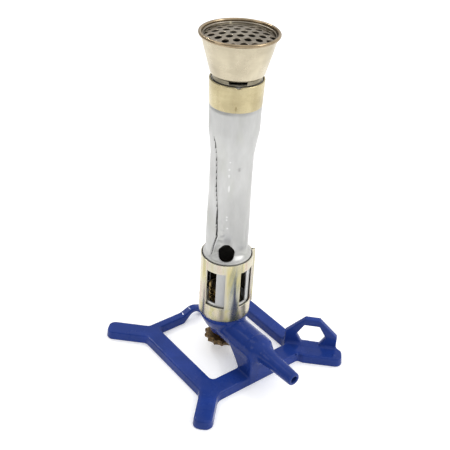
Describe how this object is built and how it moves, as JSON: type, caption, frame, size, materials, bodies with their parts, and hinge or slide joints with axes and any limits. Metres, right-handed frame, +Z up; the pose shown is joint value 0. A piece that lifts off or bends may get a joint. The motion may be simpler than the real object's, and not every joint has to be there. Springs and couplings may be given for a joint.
{
  "type": "bunsen burner",
  "caption": "Grid-head laboratory gas burner: flared perforated head, sheet mixing tube, turning air collar, toothed gas wheel and a cast footed base with hose nozzle and upright ring.",
  "frame": {"origin": "on the bench, under the middle of the burner's outline seen from above", "axes": "+Z up along the mixing tube, -Y along the gas arm towards the hose nozzle, +X towards the foot that carries the upright ring"},
  "size_m": [0.1236, 0.13, 0.2238],
  "materials": {
    "blue_enamel": "glossy stoved enamel on a zinc casting",
    "zinc_sheet": "satin galvanised sheet steel",
    "passivated_sheet": "yellow passivated zinc plate with a rainbow tint",
    "nickel_brass": "satin nickel-plated brass",
    "gold_brass": "satin lacquered brass",
    "turned_brass": "turned brass",
    "dark_brass": "aged dark brass",
    "steel": "plain steel",
    "copper": "annealed copper",
    "fibre": "vulcanised fibre",
    "graphite_packing": "dull graphite packing"
  },
  "bodies": {
    "burner": {"base_casting": "blue_enamel", "gland_nut": "turned_brass", "packing_ring": "graphite_packing", "thrust_washer": "turned_brass", "spigot_gasket": "fibre", "jet_spigot": "turned_brass", "jet_washer": "copper", "gas_jet": "turned_brass", "tube_bush": "steel", "mixing_tube": "zinc_sheet", "head_ferrule": "gold_brass", "burner_head": "nickel_brass", "grid_plate": "nickel_brass", "grid_retaining_ring": "nickel_brass"},
    "collar": {"air_collar": "passivated_sheet"},
    "spindle": {"valve_spindle": "turned_brass"},
    "gas_wheel": {"gas_thumbwheel": "dark_brass", "thumbwheel_screw": "steel"}
  },
  "joints": [
    {"name": "air_collar_turn", "type": "hinge", "parent": "burner", "child": "collar", "pos_m": [0, 0.00799, 0.055], "axis": [0, 0, 1], "continuous": true},
    {"name": "spindle_travel", "type": "slide", "parent": "burner", "child": "spindle", "axis": [0, 0, 1], "range_m": [-0.00125, 0.00075]},
    {"name": "gas_wheel_turn", "type": "hinge", "parent": "spindle", "child": "gas_wheel", "pos_m": [0, 0.00799, 0.009], "axis": [0, 0, 1], "range_deg": [-450, 270]}
  ],
  "couplings": [
    {"joint": "gas_wheel_turn", "follows": "spindle_travel", "rad_per_m": 6283.2}
  ]
}
